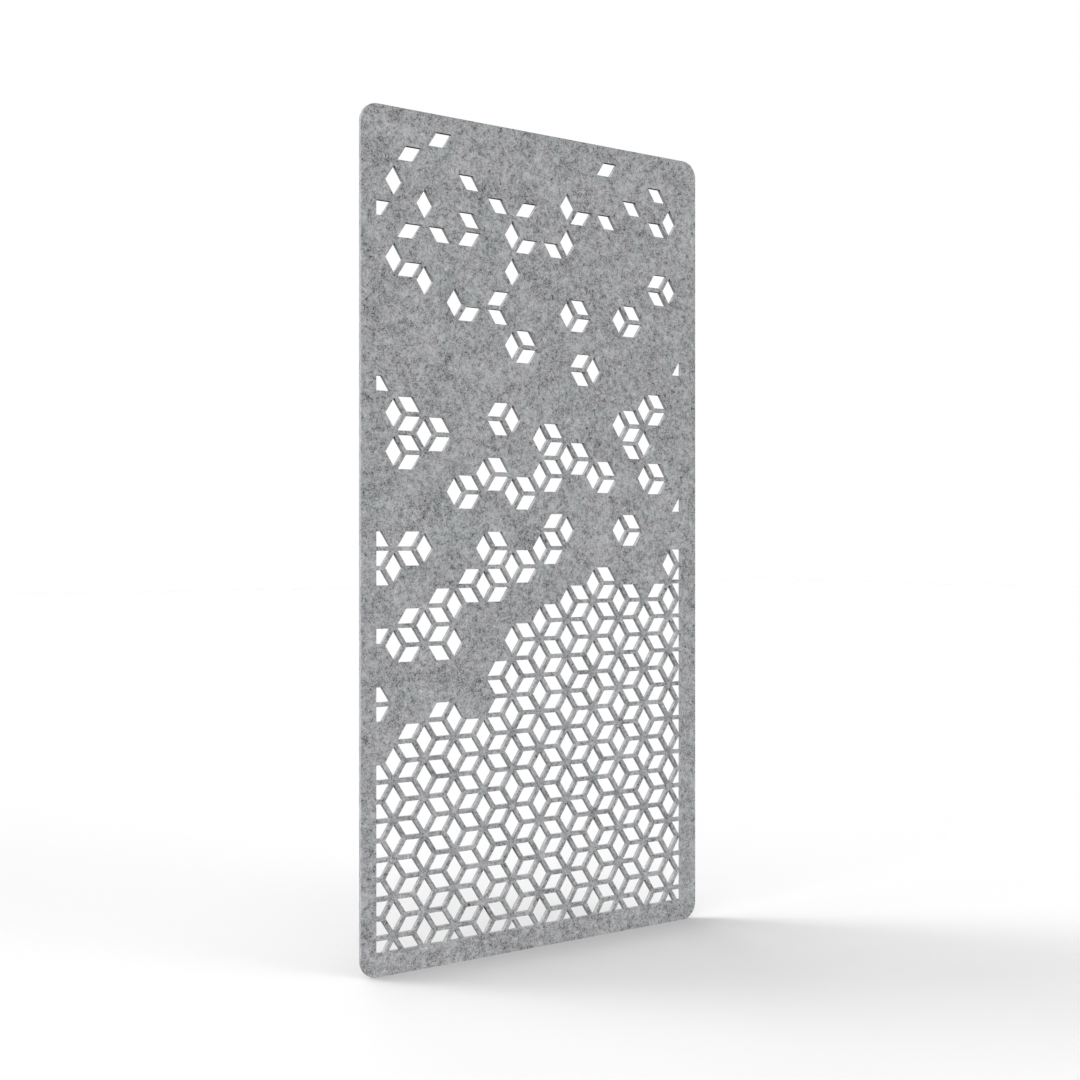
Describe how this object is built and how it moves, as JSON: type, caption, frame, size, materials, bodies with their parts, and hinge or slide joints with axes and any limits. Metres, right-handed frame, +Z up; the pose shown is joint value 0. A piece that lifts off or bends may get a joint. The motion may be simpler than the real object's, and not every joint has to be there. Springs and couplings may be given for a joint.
{
  "type": "hanging room divider panel",
  "caption": "Tall board of pressed felt that hangs by its top edge to divide a room, with lozenge cut-outs, close at the foot and sparse above.",
  "frame": {"origin": "middle of the top edge, by which the panel hangs, halfway through its thickness", "axes": "+Z up along the height, +X along the width to the right of someone facing the front, +Y through the thickness from the front face to the back"},
  "size_m": [1.2, 0.012, 2.4],
  "materials": {
    "felt": "matt, mottled mid grey needle-punched felt, pressed to a stiff board"
  },
  "bodies": {
    "root": {"felt_panel": "felt"}
  },
  "joints": []
}
